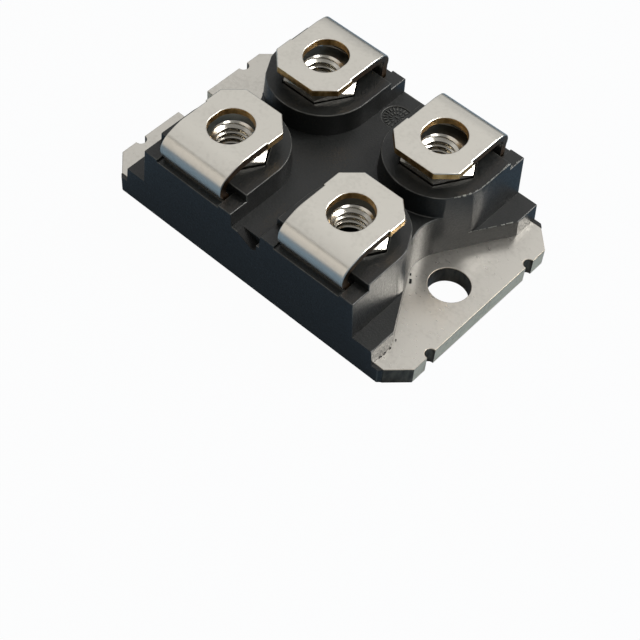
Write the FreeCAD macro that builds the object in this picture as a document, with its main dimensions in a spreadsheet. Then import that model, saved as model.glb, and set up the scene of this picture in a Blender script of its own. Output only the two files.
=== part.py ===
import FreeCAD, Part
import math
import os
import Sketcher

# Isolated-base power module with four screw terminals, drawn at real size in millimetres.
# X runs along the length (round fixing hole at +X), Y across it, Z up from the cooling face.

DRIVING_SIZES = [
    # Base plate
    ("plate_length", 38.1),
    ("plate_width", 24.0),
    ("plate_thickness", 2.04),
    ("plate_corner", 2.0),
    ("fixing_inset", 3.95),
    ("fixing_bore", 4.2),
    ("end_notch_pitch", 15.0),
    ("end_notch_bore", 1.16),
    ("end_notch_inset", 0.06),
    # Moulding: heights are measured from the cooling face
    ("foot_setback", 3.15),
    ("skirt_wall", 0.38),
    ("side_lean", 0.22),
    ("skirt_lift", 0.1),
    ("foot_height", 4.05),
    ("valley_height", 7.0),
    ("ledge_height", 8.7),
    ("ledge_width", 2.2),
    ("pad_step", 0.85),
    ("pad_radius", 5.58),
    ("end_draft", 3.5),
    ("vee_radius", 4.0),
    ("vee_flank_angle", 60.3),
    ("vee_draft", 2.3),
    ("slot_depth", 0.3),
    ("slot_margin", 0.08),
    ("mark_bore", 3.0),
    ("mark_depth", 0.12),
    ("mark_inset", 3.3),
    ("block_setback", 0.3),
    ("skirt_corner", 0.35),
    ("gate_scar_left", 1.0),
    ("gate_scar_right", 1.4),
    ("gate_scar_lowest", 0.85),
    ("gate_scar_height", 1.1),
    ("gate_scar_lip", 0.37),
    ("gate_scar_depth", 0.7),
    # Nuts and their seats
    ("terminal_inset", 7.6),
    ("nut_inset", 4.95),
    ("hexagon_half_angle", 30.0),
    ("nut_flats", 7.0),
    ("nut_height", 3.2),
    ("nut_bore", 3.3),
    ("nut_countersink", 4.7),
    ("nut_crown", 6.7),
    ("nut_crown_angle", 30.0),
    ("nut_turning_margin", 0.4),
    ("nut_clearance", 0.12),
    ("nut_seat_height", 7.05),
    ("screw_well_bore", 4.6),
    ("screw_well_cover", 0.4),
    # Folded terminals
    ("tab_gap", 0.9),
    ("strip_thickness", 0.8),
    ("strip_width", 7.8),
    ("tab_width", 8.1),
    ("tab_lead", 4.2),
    ("tab_corner", 1.75),
    ("tab_shoulder_lead", 0.35),
    ("tab_hole_width", 4.15),
    ("tab_hole_length", 4.8),
    ("tab_hole_lead", 0.35),
    ("near_sag_lead", 2.5),
    ("near_sag_angle", 20.0),
    ("near_sag_run", 0.7),
    ("near_fold_radius", 1.3),
    ("far_sag_lead", 1.8),
    ("far_sag_angle", 8.0),
    ("far_sag_run", 0.5),
    ("far_fold_radius", 0.9),
    ("sag_radius", 4.5),
    ("return_radius", 0.8),
    ("leg_inset", 1.3),
    ("leg_neck_width", 3.0),
    ("leg_neck_height", 6.2),
    ("foot_bend_radius", 0.7),
    ("foot_run", 2.7),
    # Isolating substrate and its copper areas
    ("solder_thickness", 0.1),
    ("copper_thickness", 0.3),
    ("ceramic_thickness", 0.63),
    ("ceramic_inset", 1.6),
    ("copper_margin", 0.9),
    ("copper_setback", 0.3),
    ("track_gap", 0.8),
    ("track_depth", 3.3),
    ("collector_arm_width", 4.2),
    # Chips and bonds
    ("die_thickness", 0.3),
    ("igbt_side", 7.5),
    ("diode_side", 5.0),
    ("chip_margin", 0.75),
    ("chip_gap", 1.2),
    ("chip_row_offset", 0.5),
    ("gate_pad_inset", 0.9),
    ("gate_pad_margin", 0.6),
    ("bond_thickness", 0.25),
    ("bond_foot", 1.0),
    ("bond_inset", 0.5),
    ("bond_loop_height", 0.75),
    ("bond_slope", 45.0),
    ("ribbon_width", 1.3),
    ("ribbon_pitch", 1.8),
    ("single_bond_width", 0.5),
]

IGBT_RIBBON_COUNT = 4
DIODE_RIBBON_COUNT = 2


class Size:
    """A size that carries both its value and the sheet expression that drives it."""

    def __init__(self, text, value):
        self.text = text
        self.value = value

    def join(self, sign, other, result):
        return Size(f"({self.text} {sign} {as_size(other).text})", result)

    def __add__(self, other):
        return self.join("+", other, self.value + as_size(other).value)

    def __sub__(self, other):
        return self.join("-", other, self.value - as_size(other).value)

    def __mul__(self, other):
        return self.join("*", other, self.value * as_size(other).value)

    def __truediv__(self, other):
        return self.join("/", other, self.value / as_size(other).value)

    def __neg__(self):
        return self * -1


def as_size(number):
    if isinstance(number, Size):
        return number
    return Size(f"({float(number)})", float(number))


def sine(angle):
    return Size(f"sin({angle.text})", math.sin(math.radians(angle.value)))


def cosine(angle):
    return Size(f"cos({angle.text})", math.cos(math.radians(angle.value)))


def tangent(angle):
    return Size(f"tan({angle.text})", math.tan(math.radians(angle.value)))


doc = FreeCAD.newDocument("PowerModule")
sheet = doc.addObject("Spreadsheet::Sheet", "Sizes")


class SheetSizes:
    """Every driving size of the sheet, by its alias."""


size = SheetSizes()
for row, (alias, number) in enumerate(DRIVING_SIZES, start=1):
    sheet.set(f"A{row}", alias)
    sheet.set(f"B{row}", str(number))
    sheet.setAlias(f"B{row}", alias)
    setattr(size, alias, Size(f"Sizes.{alias}", number))
doc.recompute()

# Places shared by several pieces
NEAR, FAR = -1, 1
LEFT, RIGHT = -1, 1
SIDES = (-1, 1)
plate_end = size.plate_length / 2
plate_side = size.plate_width / 2
fixing_x = plate_end - size.fixing_inset
skirt_end = plate_end - size.plate_corner
moulding_end = plate_end - size.foot_setback
skirt_side = plate_side + size.skirt_wall
moulding_side = skirt_side + size.side_lean
pad_reach = moulding_side - size.ledge_width
pad_height = size.ledge_height + size.pad_step
nut_top = size.nut_seat_height + size.nut_height
terminal_top = nut_top + size.tab_gap + size.strip_thickness
terminal_x = fixing_x - size.terminal_inset
leg_place = moulding_side - size.leg_inset
foot_end = leg_place - size.foot_run
nut_y = leg_place - size.nut_inset
tab_end = nut_y - size.tab_lead
tab_shoulder = nut_y - size.tab_shoulder_lead
beyond = size.plate_length
end_slope = tangent(size.end_draft)

solder_top = size.plate_thickness + size.solder_thickness
back_copper_top = solder_top + size.copper_thickness
ceramic_top = back_copper_top + size.ceramic_thickness
track_top = ceramic_top + size.copper_thickness
die_base = track_top + size.solder_thickness
die_top = die_base + size.die_thickness
copper_end = terminal_x + size.leg_neck_width / 2 + size.copper_margin
ceramic_end = copper_end + size.copper_setback
ceramic_side = plate_side - size.ceramic_inset
copper_side = ceramic_side - size.copper_setback
track_inner = copper_side - size.track_depth
track_fence = track_inner - size.track_gap
igbt_place = copper_end - size.chip_margin - size.igbt_side / 2
igbt_left = igbt_place - size.igbt_side / 2
diode_place = igbt_left - size.chip_gap - size.diode_side / 2
gate_x = igbt_left + size.gate_pad_inset
bond_crest = die_top + size.bond_loop_height
well_floor = bond_crest + size.bond_thickness + size.screw_well_cover


# Sketch helpers

def new_body(name):
    body = doc.addObject("PartDesign::Body", name)
    body.Label = name
    return body


def new_sketch(body, name, role, offset=None):
    """A sketch on one of the body's own origin planes, moved along its normal."""
    sketch = body.newObject("Sketcher::SketchObject", name)
    plane = [item for item in body.Origin.OriginFeatures if item.Role == role][0]
    sketch.AttachmentSupport = [(plane, "")]
    sketch.MapMode = "FlatFace"
    if offset is not None:
        sketch.setExpression(".AttachmentOffset.Base.z", offset.text)
    doc.recompute()
    return sketch


def pin(sketch, kind, geometry, point, target):
    """Tie one coordinate of a point to a size."""
    axis = -2 if kind == "DistanceX" else -1
    if target.value == 0:
        sketch.addConstraint(Sketcher.Constraint("PointOnObject", geometry, point, axis))
        return
    constraint = Sketcher.Constraint(kind, -1, 1, geometry, point, target.value)
    index = sketch.addConstraint(constraint)
    sketch.setExpression(f"Constraints[{index}]", target.text)


def pin_point(sketch, geometry, point, target_x, target_y):
    pin(sketch, "DistanceX", geometry, point, as_size(target_x))
    pin(sketch, "DistanceY", geometry, point, as_size(target_y))


def add_outline(sketch, corners, arcs=None):
    """A closed outline, anticlockwise. arcs maps an edge to its centre and the pinned axis."""
    arcs = arcs or {}
    flat = [(as_size(x), as_size(y)) for x, y in corners]
    first = sketch.GeometryCount
    for edge, (start_x, start_y) in enumerate(flat):
        end_x, end_y = flat[(edge + 1) % len(flat)]
        start = FreeCAD.Vector(start_x.value, start_y.value, 0)
        end = FreeCAD.Vector(end_x.value, end_y.value, 0)
        if edge in arcs:
            centre_x, centre_y, _axis = arcs[edge]
            centre = FreeCAD.Vector(as_size(centre_x).value, as_size(centre_y).value, 0)
            circle = Part.Circle(centre, FreeCAD.Vector(0, 0, 1), (start - centre).Length)
            from_angle = math.atan2(start.y - centre.y, start.x - centre.x)
            to_angle = math.atan2(end.y - centre.y, end.x - centre.x)
            sketch.addGeometry(Part.ArcOfCircle(circle, from_angle, to_angle), False)
        else:
            sketch.addGeometry(Part.LineSegment(start, end), False)
    for edge, (start_x, start_y) in enumerate(flat):
        geometry = first + edge
        following = first + (edge + 1) % len(flat)
        sketch.addConstraint(Sketcher.Constraint("Coincident", geometry, 2, following, 1))
        pin_point(sketch, geometry, 1, start_x, start_y)
        if edge in arcs:
            centre_x, centre_y, axis = arcs[edge]
            if axis == "x":
                pin(sketch, "DistanceX", geometry, 3, as_size(centre_x))
            else:
                pin(sketch, "DistanceY", geometry, 3, as_size(centre_y))


def add_rectangle(sketch, left, right, low, high):
    add_outline(sketch, [(left, low), (right, low), (right, high), (left, high)])


def add_circle(sketch, centre_x, centre_y, radius):
    centre = FreeCAD.Vector(as_size(centre_x).value, as_size(centre_y).value, 0)
    circle = Part.Circle(centre, FreeCAD.Vector(0, 0, 1), radius.value)
    geometry = sketch.addGeometry(circle, False)
    pin_point(sketch, geometry, 3, centre_x, centre_y)
    index = sketch.addConstraint(Sketcher.Constraint("Radius", geometry, radius.value))
    sketch.setExpression(f"Constraints[{index}]", radius.text)


# Feature helpers

def fail_unless(condition, message):
    if not condition:
        raise RuntimeError(message)


def grow(body, sketch, length, taper=None, both_ways=False):
    """Pad a sketch along its normal."""
    pad = body.newObject("PartDesign::Pad", sketch.Name + "_pad")
    pad.Profile = sketch
    pad.setExpression("Length", as_size(length).text)
    if taper is not None:
        pad.setExpression("TaperAngle", taper.text)
    if both_ways:
        pad.SideType = "Symmetric"
    doc.recompute()
    return pad


def cut(body, sketch, length, upward=False, taper=None, both_ways=False):
    """Pocket a sketch against its normal, or along it, and make sure that it removes material."""
    before = body.Shape.Volume
    pocket = body.newObject("PartDesign::Pocket", sketch.Name + "_cut")
    pocket.Profile = sketch
    pocket.Reversed = upward
    pocket.setExpression("Length", as_size(length).text)
    if taper is not None:
        pocket.setExpression("TaperAngle", taper.text)
    if both_ways:
        pocket.SideType = "Symmetric"
    doc.recompute()
    fail_unless(body.Shape.Volume < before, f"{pocket.Name} removes nothing")
    return pocket


def slab(name, left, right, low, high, base, thickness):
    """A flat rectangular piece that stands on the height called base."""
    body = new_body(name)
    sketch = new_sketch(body, name + "_plan", "XY_Plane", base)
    add_rectangle(sketch, left, right, low, high)
    grow(body, sketch, thickness)
    return body


# Base plate: cut corners, two fixing holes of which one runs out at the end, four end notches

def make_base_plate():
    body = new_body("base_plate")
    plan = new_sketch(body, "plate_plan", "XY_Plane")
    corner_x = plate_end - size.plate_corner
    corner_y = plate_side - size.plate_corner
    add_outline(plan, [
        (-corner_x, -plate_side), (corner_x, -plate_side),
        (plate_end, -corner_y), (plate_end, corner_y),
        (corner_x, plate_side), (-corner_x, plate_side),
        (-plate_end, corner_y), (-plate_end, -corner_y),
    ])
    grow(body, plan, size.plate_thickness)

    holes = new_sketch(body, "fixing_holes", "XY_Plane")
    for side in SIDES:
        add_circle(holes, fixing_x * side, 0, size.fixing_bore / 2)
    cut(body, holes, size.plate_thickness, upward=True)

    slot = new_sketch(body, "fixing_slot", "XY_Plane")
    add_rectangle(slot, -beyond, -fixing_x, -size.fixing_bore / 2, size.fixing_bore / 2)
    cut(body, slot, size.plate_thickness, upward=True)

    notches = new_sketch(body, "end_notches", "XY_Plane")
    for side_x in SIDES:
        for side_y in SIDES:
            notch_x = (plate_end - size.end_notch_inset) * side_x
            notch_y = size.end_notch_pitch / 2 * side_y
            add_circle(notches, notch_x, notch_y, size.end_notch_bore / 2)
    cut(body, notches, size.plate_thickness, upward=True)
    return body


# Moulding: everything that shows, before the sealed pieces are taken out of it

def add_feet_and_block(body):
    """The drafted foot layer over the plate, the skirt below it and the valley block on top."""
    foot_rise = size.foot_height - size.plate_thickness
    foot_end_top = moulding_end - foot_rise * end_slope
    side = new_sketch(body, "foot_layer", "XZ_Plane")
    right_half = [
        (skirt_end, size.skirt_lift), (skirt_end, size.plate_thickness),
        (moulding_end, size.plate_thickness), (foot_end_top, size.foot_height),
    ]
    left_half = [(-x, z) for x, z in reversed(right_half)]
    add_outline(side, right_half + left_half)
    grow(body, side, moulding_side * 2, both_ways=True)

    block_end = terminal_x + size.pad_radius - size.block_setback
    block = new_sketch(body, "valley_block", "XY_Plane", size.foot_height)
    add_rectangle(block, -block_end, block_end, -moulding_side, moulding_side)
    grow(body, block, size.valley_height - size.foot_height)


def add_pads(body):
    """Four U-shaped pads: round towards the middle, straight out to the long sides, all drafted."""
    pad_rise = pad_height - size.foot_height
    foot_radius = size.pad_radius + pad_rise * end_slope
    rounds = new_sketch(body, "pad_rounds", "XY_Plane", size.foot_height)
    for side_x in SIDES:
        for side_y in SIDES:
            add_circle(rounds, terminal_x * side_x, nut_y * side_y, foot_radius)
    grow(body, rounds, pad_rise, taper=-size.end_draft)

    for side_y in SIDES:
        flanks = new_sketch(body, "pad_flanks", "XZ_Plane", nut_y * -side_y)
        for side_x in SIDES:
            middle = terminal_x * side_x
            add_outline(flanks, [
                (middle - foot_radius, size.foot_height), (middle + foot_radius, size.foot_height),
                (middle + size.pad_radius, pad_height), (middle - size.pad_radius, pad_height),
            ])
        pad = grow(body, flanks, moulding_side - nut_y)
        pad.Reversed = side_y == FAR
        doc.recompute()


def trim_long_sides(body):
    """The outer strips are lower than the pads, and both long sides lean out towards the top."""
    ledges = new_sketch(body, "ledges", "XY_Plane", size.ledge_height)
    for side in SIDES:
        near_y, far_y = sorted((pad_reach * side, beyond * side), key=lambda y: y.value)
        add_rectangle(ledges, -beyond, beyond, near_y, far_y)
    cut(body, ledges, pad_height, upward=True)

    top_y = skirt_side + size.side_lean / size.ledge_height * pad_height
    sides = new_sketch(body, "side_draft", "YZ_Plane")
    add_outline(sides, [
        (skirt_side, 0), (beyond, 0), (beyond, pad_height), (top_y, pad_height),
    ])
    add_outline(sides, [
        (-beyond, 0), (-skirt_side, 0), (-top_y, pad_height), (-beyond, pad_height),
    ])
    cut(body, sides, beyond * 2, both_ways=True)


def open_fixing_vees(body):
    """A V with a round bottom clears each fixing hole, down to the plate."""
    flank = size.vee_flank_angle
    touch_x = fixing_x - size.vee_radius * sine(flank)
    touch_y = size.vee_radius * cosine(flank)
    mouth_x = (moulding_end + skirt_end) / 2
    mouth_y = touch_y + (mouth_x - touch_x) * tangent(flank)
    for side in SIDES:
        plan = new_sketch(body, "fixing_vee", "XY_Plane", size.plate_thickness)
        add_outline(
            plan,
            [(touch_x * side, touch_y * side), (touch_x * side, -touch_y * side),
             (mouth_x * side, -mouth_y * side), (mouth_x * side, mouth_y * side)],
            {0: (fixing_x * side, 0, "x")},
        )
        cut(body, plan, pad_height - size.plate_thickness, upward=True, taper=size.vee_draft)


def seat_plate_and_nuts(body):
    """Room for the base plate, the hexagon pockets and the wells for the screw tips."""
    corners = new_sketch(body, "skirt_corners", "XY_Plane")
    chamfer_y = skirt_side - size.skirt_corner
    inner_x = skirt_end - size.skirt_corner - size.side_lean
    for side_x in SIDES:
        for side_y in SIDES:
            triangle = [
                (skirt_end * side_x, chamfer_y * side_y), (skirt_end * side_x, moulding_side * side_y),
                (inner_x * side_x, moulding_side * side_y),
            ]
            add_outline(corners, triangle if side_x * side_y > 0 else list(reversed(triangle)))
    cut(body, corners, size.plate_thickness, upward=True)

    plate_room = new_sketch(body, "plate_room", "XY_Plane")
    add_rectangle(plate_room, -beyond, beyond, -plate_side, plate_side)
    cut(body, plate_room, size.plate_thickness, upward=True)

    flats = size.nut_flats / 2 + size.nut_clearance
    corner = flats / cosine(size.hexagon_half_angle)
    pockets = new_sketch(body, "nut_pockets", "XY_Plane", size.nut_seat_height)
    for side_x in SIDES:
        for side_y in SIDES:
            middle_x = terminal_x * side_x
            middle_y = nut_y * side_y
            add_outline(pockets, [
                (middle_x + corner, middle_y), (middle_x + corner / 2, middle_y + flats),
                (middle_x - corner / 2, middle_y + flats), (middle_x - corner, middle_y),
                (middle_x - corner / 2, middle_y - flats), (middle_x + corner / 2, middle_y - flats),
            ])
    cut(body, pockets, pad_height, upward=True)

    wells = new_sketch(body, "screw_wells", "XY_Plane", size.nut_seat_height)
    for side_x in SIDES:
        for side_y in SIDES:
            add_circle(wells, terminal_x * side_x, nut_y * side_y, size.screw_well_bore / 2)
    cut(body, wells, size.nut_seat_height - well_floor)


def mark_surface(body):
    """Shallow slots at the terminals, the round mark in the valley and the broken-off gate."""
    half_slot = size.strip_width / 2 + size.slot_margin
    slots = new_sketch(body, "terminal_slots", "XY_Plane", size.ledge_height)
    for side_x in SIDES:
        for side_y in SIDES:
            middle = terminal_x * side_x
            low_y, high_y = sorted((pad_reach * side_y, beyond * side_y), key=lambda y: y.value)
            add_rectangle(slots, middle - half_slot, middle + half_slot, low_y, high_y)
    cut(body, slots, size.slot_depth)

    mark = new_sketch(body, "valley_mark", "XY_Plane", size.valley_height)
    add_circle(mark, 0, moulding_side - size.mark_inset, size.mark_bore / 2)
    cut(body, mark, size.mark_depth)

    scar_low = size.valley_height - size.gate_scar_height
    scar_y = skirt_side - size.gate_scar_depth
    scar = new_sketch(body, "gate_scar", "XZ_Plane", scar_y)
    add_outline(scar, [
        (-size.gate_scar_left, size.valley_height), (size.gate_scar_lowest, scar_low),
        (size.gate_scar_right, scar_low + size.gate_scar_lip),
        (size.gate_scar_right, size.ledge_height), (-size.gate_scar_left, size.ledge_height),
    ])
    cut(body, scar, moulding_side, upward=True)


def make_housing_blank():
    body = new_body("housing_blank")
    add_feet_and_block(body)
    add_pads(body)
    trim_long_sides(body)
    open_fixing_vees(body)
    seat_plate_and_nuts(body)
    mark_surface(body)
    return body


# Hexagon nut: chamfered on both faces and countersunk on both faces

def make_nut(name, side_x, side_y):
    body = new_body(name)
    middle_x = terminal_x * side_x
    middle_y = nut_y * side_y
    flats = size.nut_flats / 2
    corner = flats / cosine(size.hexagon_half_angle)
    plan = new_sketch(body, name + "_plan", "XY_Plane", size.nut_seat_height)
    add_outline(plan, [
        (middle_x + corner, middle_y), (middle_x + corner / 2, middle_y + flats),
        (middle_x - corner / 2, middle_y + flats), (middle_x - corner, middle_y),
        (middle_x - corner / 2, middle_y - flats), (middle_x + corner / 2, middle_y - flats),
    ])
    grow(body, plan, size.nut_height)

    crown = size.nut_crown / 2
    rim = corner + size.nut_turning_margin
    crown_drop = (rim - crown) * tangent(size.nut_crown_angle)
    top = nut_top
    base = size.nut_seat_height
    bore = size.nut_bore / 2
    countersink = size.nut_countersink / 2
    section = new_sketch(body, name + "_section", "XZ_Plane", -middle_y)
    add_outline(section, [
        (middle_x + crown, top), (middle_x + rim, top - crown_drop), (middle_x + rim, top),
    ])
    add_outline(section, [
        (middle_x + crown, base), (middle_x + rim, base), (middle_x + rim, base + crown_drop),
    ])
    add_outline(section, [
        (middle_x, base), (middle_x + countersink, base),
        (middle_x + bore, base + countersink - bore), (middle_x + bore, top - countersink + bore),
        (middle_x + countersink, top), (middle_x, top),
    ])
    axis = new_sketch(body, name + "_axis", "XZ_Plane", -middle_y)
    line = axis.addGeometry(Part.LineSegment(
        FreeCAD.Vector(middle_x.value, base.value, 0), FreeCAD.Vector(middle_x.value, top.value, 0)), False)
    pin_point(axis, line, 1, middle_x, base)
    pin_point(axis, line, 2, middle_x, top)
    doc.recompute()
    before = body.Shape.Volume
    groove = body.newObject("PartDesign::Groove", name + "_turning")
    groove.Profile = section
    groove.ReferenceAxis = (axis, ["Edge1"])
    groove.Angle = 360
    doc.recompute()
    fail_unless(body.Shape.Volume < before, f"{name} is not turned")
    return body


# Folded terminal: one strip swept along its folded centre line, then trimmed

def fold_points(side, start_y, start_z, steps):
    """The route as straight runs (length) and bends (radius, turn), worked out in order."""
    y, z, heading = start_y, start_z, 0.0
    pieces = []
    for step in steps:
        if len(step) == 1:
            end_y = y + step[0] * math.cos(heading)
            end_z = z + step[0] * math.sin(heading)
            pieces.append((None, (y, z), (end_y, end_z)))
        else:
            radius, turn = step
            bend = math.copysign(1, turn)
            centre = (y - bend * radius * math.sin(heading), z + bend * radius * math.cos(heading))
            heading += turn
            end_y = centre[0] + bend * radius * math.sin(heading)
            end_z = centre[1] - bend * radius * math.cos(heading)
            pieces.append(((centre, radius, turn), (y, z), (end_y, end_z)))
        y, z = end_y, end_z
    return pieces


def add_route(sketch, side, pieces):
    """Draw the route and join its pieces with tangents."""
    ends = []
    for bend, start, end in pieces:
        if bend is None:
            line = Part.LineSegment(
                FreeCAD.Vector(side * start[0], start[1], 0), FreeCAD.Vector(side * end[0], end[1], 0))
            ends.append((sketch.addGeometry(line, False), 1, 2))
            continue
        (centre_y, centre_z), radius, turn = bend
        centre = FreeCAD.Vector(side * centre_y, centre_z, 0)
        circle = Part.Circle(centre, FreeCAD.Vector(0, 0, 1), radius)
        anticlockwise = turn * side > 0
        first, last = (start, end) if anticlockwise else (end, start)
        from_angle = math.atan2(first[1] - centre_z, side * (first[0] - centre_y))
        to_angle = math.atan2(last[1] - centre_z, side * (last[0] - centre_y))
        geometry = sketch.addGeometry(Part.ArcOfCircle(circle, from_angle, to_angle), False)
        ends.append((geometry, 1, 2) if anticlockwise else (geometry, 2, 1))
    for before, after in zip(ends, ends[1:]):
        sketch.addConstraint(Sketcher.Constraint("Tangent", before[0], before[2], after[0], after[1]))
    return ends


def set_datum(sketch, kind, geometry, target):
    start = math.radians(target.value) if kind == "Angle" else target.value
    index = sketch.addConstraint(Sketcher.Constraint(kind, geometry, start))
    sketch.setExpression(f"Constraints[{index}]", target.text)


def make_terminal(name, side_x, side_y, sag_start, sag_angle, sag_run, fold_radius):
    body = new_body(name)
    middle = terminal_x * side_x
    half_strip = size.strip_thickness / 2
    tab_z = terminal_top - half_strip
    foot_z = track_top + size.solder_thickness + half_strip

    # The fold's return angle brings the leg back to its place under the bulge
    sag = math.radians(sag_angle.value)
    bulge = (sag_start.value + size.sag_radius.value * math.sin(sag) + sag_run.value * math.cos(sag)
             + fold_radius.value * (1 - math.sin(sag)))
    reach = fold_radius.value + size.return_radius.value
    return_angle = math.acos(1 - (bulge - leg_place.value) / reach)
    drop = (size.sag_radius.value * (1 - math.cos(sag)) + sag_run.value * math.sin(sag)
            + fold_radius.value * math.cos(sag) + reach * math.sin(return_angle))
    leg_length = tab_z.value - drop - foot_z.value - size.foot_bend_radius.value
    foot_length = leg_place.value - size.foot_bend_radius.value - foot_end.value
    quarter = math.pi / 2
    route = fold_points(side_y, tab_end.value, tab_z.value, [
        (sag_start.value - tab_end.value,),
        (size.sag_radius.value, -sag),
        (sag_run.value,),
        (fold_radius.value, -(quarter - sag + return_angle)),
        (size.return_radius.value, return_angle),
        (leg_length,),
        (size.foot_bend_radius.value, -quarter),
        (foot_length,),
    ])

    spine = new_sketch(body, name + "_route", "YZ_Plane", middle)
    ends = add_route(spine, side_y, route)
    tab, sag_bend, slope, fold, turn_back, leg, foot_bend, foot = [end[0] for end in ends]
    pin_point(spine, tab, 1, tab_end * side_y, tab_z)
    pin(spine, "DistanceX", tab, 2, sag_start * side_y)
    spine.addConstraint(Sketcher.Constraint("Horizontal", tab))
    set_datum(spine, "Radius", sag_bend, size.sag_radius)
    set_datum(spine, "Angle", slope, -sag_angle if side_y == FAR else sag_angle - 180)
    set_datum(spine, "Distance", slope, sag_run)
    set_datum(spine, "Radius", fold, fold_radius)
    set_datum(spine, "Radius", turn_back, size.return_radius)
    spine.addConstraint(Sketcher.Constraint("Vertical", leg))
    pin(spine, "DistanceX", leg, 2, leg_place * side_y)
    set_datum(spine, "Radius", foot_bend, size.foot_bend_radius)
    spine.addConstraint(Sketcher.Constraint("Horizontal", foot))
    pin_point(spine, foot, 2, foot_end * side_y, foot_z)
    doc.recompute()

    section = new_sketch(body, name + "_section", "XZ_Plane", tab_end * -side_y)
    half_tab = size.tab_width / 2
    add_rectangle(section, middle - half_tab, middle + half_tab, tab_z - half_strip, tab_z + half_strip)
    doc.recompute()
    strip = body.newObject("PartDesign::AdditivePipe", name + "_strip")
    strip.Profile = section
    strip.Spine = spine
    doc.recompute()
    trim_terminal(body, name, side_y, middle, foot_z)
    return body


def trim_terminal(body, name, side_y, middle, foot_z):
    """Cut corners, shoulders, the screw hole and the narrow neck inside the moulding."""
    half_tab = size.tab_width / 2
    half_strip_width = size.strip_width / 2
    above = new_sketch(body, name + "_corners", "XY_Plane", terminal_top)
    for side in SIDES:
        edge_x = middle + half_tab * side
        corners = [
            (edge_x, tab_end * side_y), (edge_x, (tab_end + size.tab_corner) * side_y),
            (edge_x - size.tab_corner * side, tab_end * side_y),
        ]
        add_outline(above, corners if side * side_y > 0 else list(reversed(corners)))
    cut(body, above, size.strip_thickness)

    shoulders = new_sketch(body, name + "_shoulders", "XY_Plane", terminal_top)
    for side in SIDES:
        low_x, high_x = sorted(
            (middle + half_strip_width * side, middle + size.tab_width * side), key=lambda x: x.value)
        low_y, high_y = sorted((tab_shoulder * side_y, beyond * side_y), key=lambda y: y.value)
        add_rectangle(shoulders, low_x, high_x, low_y, high_y)
    cut(body, shoulders, terminal_top)

    hole_radius = size.tab_hole_width / 2
    hole_run = (size.tab_hole_length - size.tab_hole_width) / 2
    hole_y = (nut_y + size.tab_hole_lead) * side_y
    low_y = hole_y - hole_run
    high_y = hole_y + hole_run
    hole = new_sketch(body, name + "_hole", "XY_Plane", terminal_top)
    add_outline(
        hole,
        [(middle - hole_radius, low_y), (middle + hole_radius, low_y),
         (middle + hole_radius, high_y), (middle - hole_radius, high_y)],
        {0: (middle, low_y, "y"), 2: (middle, high_y, "y")},
    )
    cut(body, hole, size.strip_thickness * 2)

    neck = new_sketch(body, name + "_neck", "XZ_Plane")
    for side in SIDES:
        low_x, high_x = sorted(
            (middle + size.leg_neck_width / 2 * side, middle + size.tab_width * side), key=lambda x: x.value)
        add_rectangle(neck, low_x, high_x, foot_z - size.strip_thickness, size.leg_neck_height)
    cut(body, neck, beyond * 2, both_ways=True)


# Copper areas on the ceramic

def make_collector_track():
    """The chips' area, with an arm out to the far left terminal."""
    body = new_body("collector_track")
    plan = new_sketch(body, "collector_plan", "XY_Plane", ceramic_top)
    arm_x = -copper_end + size.collector_arm_width
    add_outline(plan, [
        (-copper_end, -track_fence), (copper_end, -track_fence), (copper_end, track_fence),
        (arm_x, track_fence), (arm_x, copper_side), (-copper_end, copper_side),
    ])
    grow(body, plan, size.copper_thickness)
    return body


def make_small_tracks():
    emitter_left = -copper_end + size.collector_arm_width + size.track_gap
    gate_right = gate_x + size.gate_pad_margin
    copper = size.copper_thickness
    return [
        slab("emitter_track", emitter_left, copper_end, track_inner, copper_side, ceramic_top, copper),
        slab("gate_track", -copper_end, gate_right, -copper_side, -track_inner, ceramic_top, copper),
        slab("kelvin_track", gate_right + size.track_gap, copper_end, -copper_side, -track_inner,
             ceramic_top, copper),
    ]


def make_substrate():
    return [
        slab("substrate_solder", -copper_end, copper_end, -copper_side, copper_side,
             size.plate_thickness, size.solder_thickness),
        slab("substrate_back_copper", -copper_end, copper_end, -copper_side, copper_side,
             solder_top, size.copper_thickness),
        slab("substrate_ceramic", -ceramic_end, ceramic_end, -ceramic_side, ceramic_side,
             back_copper_top, size.ceramic_thickness),
    ]


def make_chip(name, place, side_length):
    """A chip and its solder layer."""
    half = side_length / 2
    low_y = -half - size.chip_row_offset
    high_y = half - size.chip_row_offset
    return [
        slab(name + "_solder", place - half, place + half, low_y, high_y, track_top, size.solder_thickness),
        slab(name + "_die", place - half, place + half, low_y, high_y, die_base, size.die_thickness),
    ]


def make_foot_solder(name, side_x, side_y):
    """The layer between a terminal's foot and its copper area."""
    middle = terminal_x * side_x
    half = size.leg_neck_width / 2
    low_y, high_y = sorted((foot_end * side_y, copper_side * side_y), key=lambda y: y.value)
    return slab(name, middle - half, middle + half, low_y, high_y, track_top, size.solder_thickness)


# Aluminium bonds: a flat loop from a chip to a copper area, all loops running across the module

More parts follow.
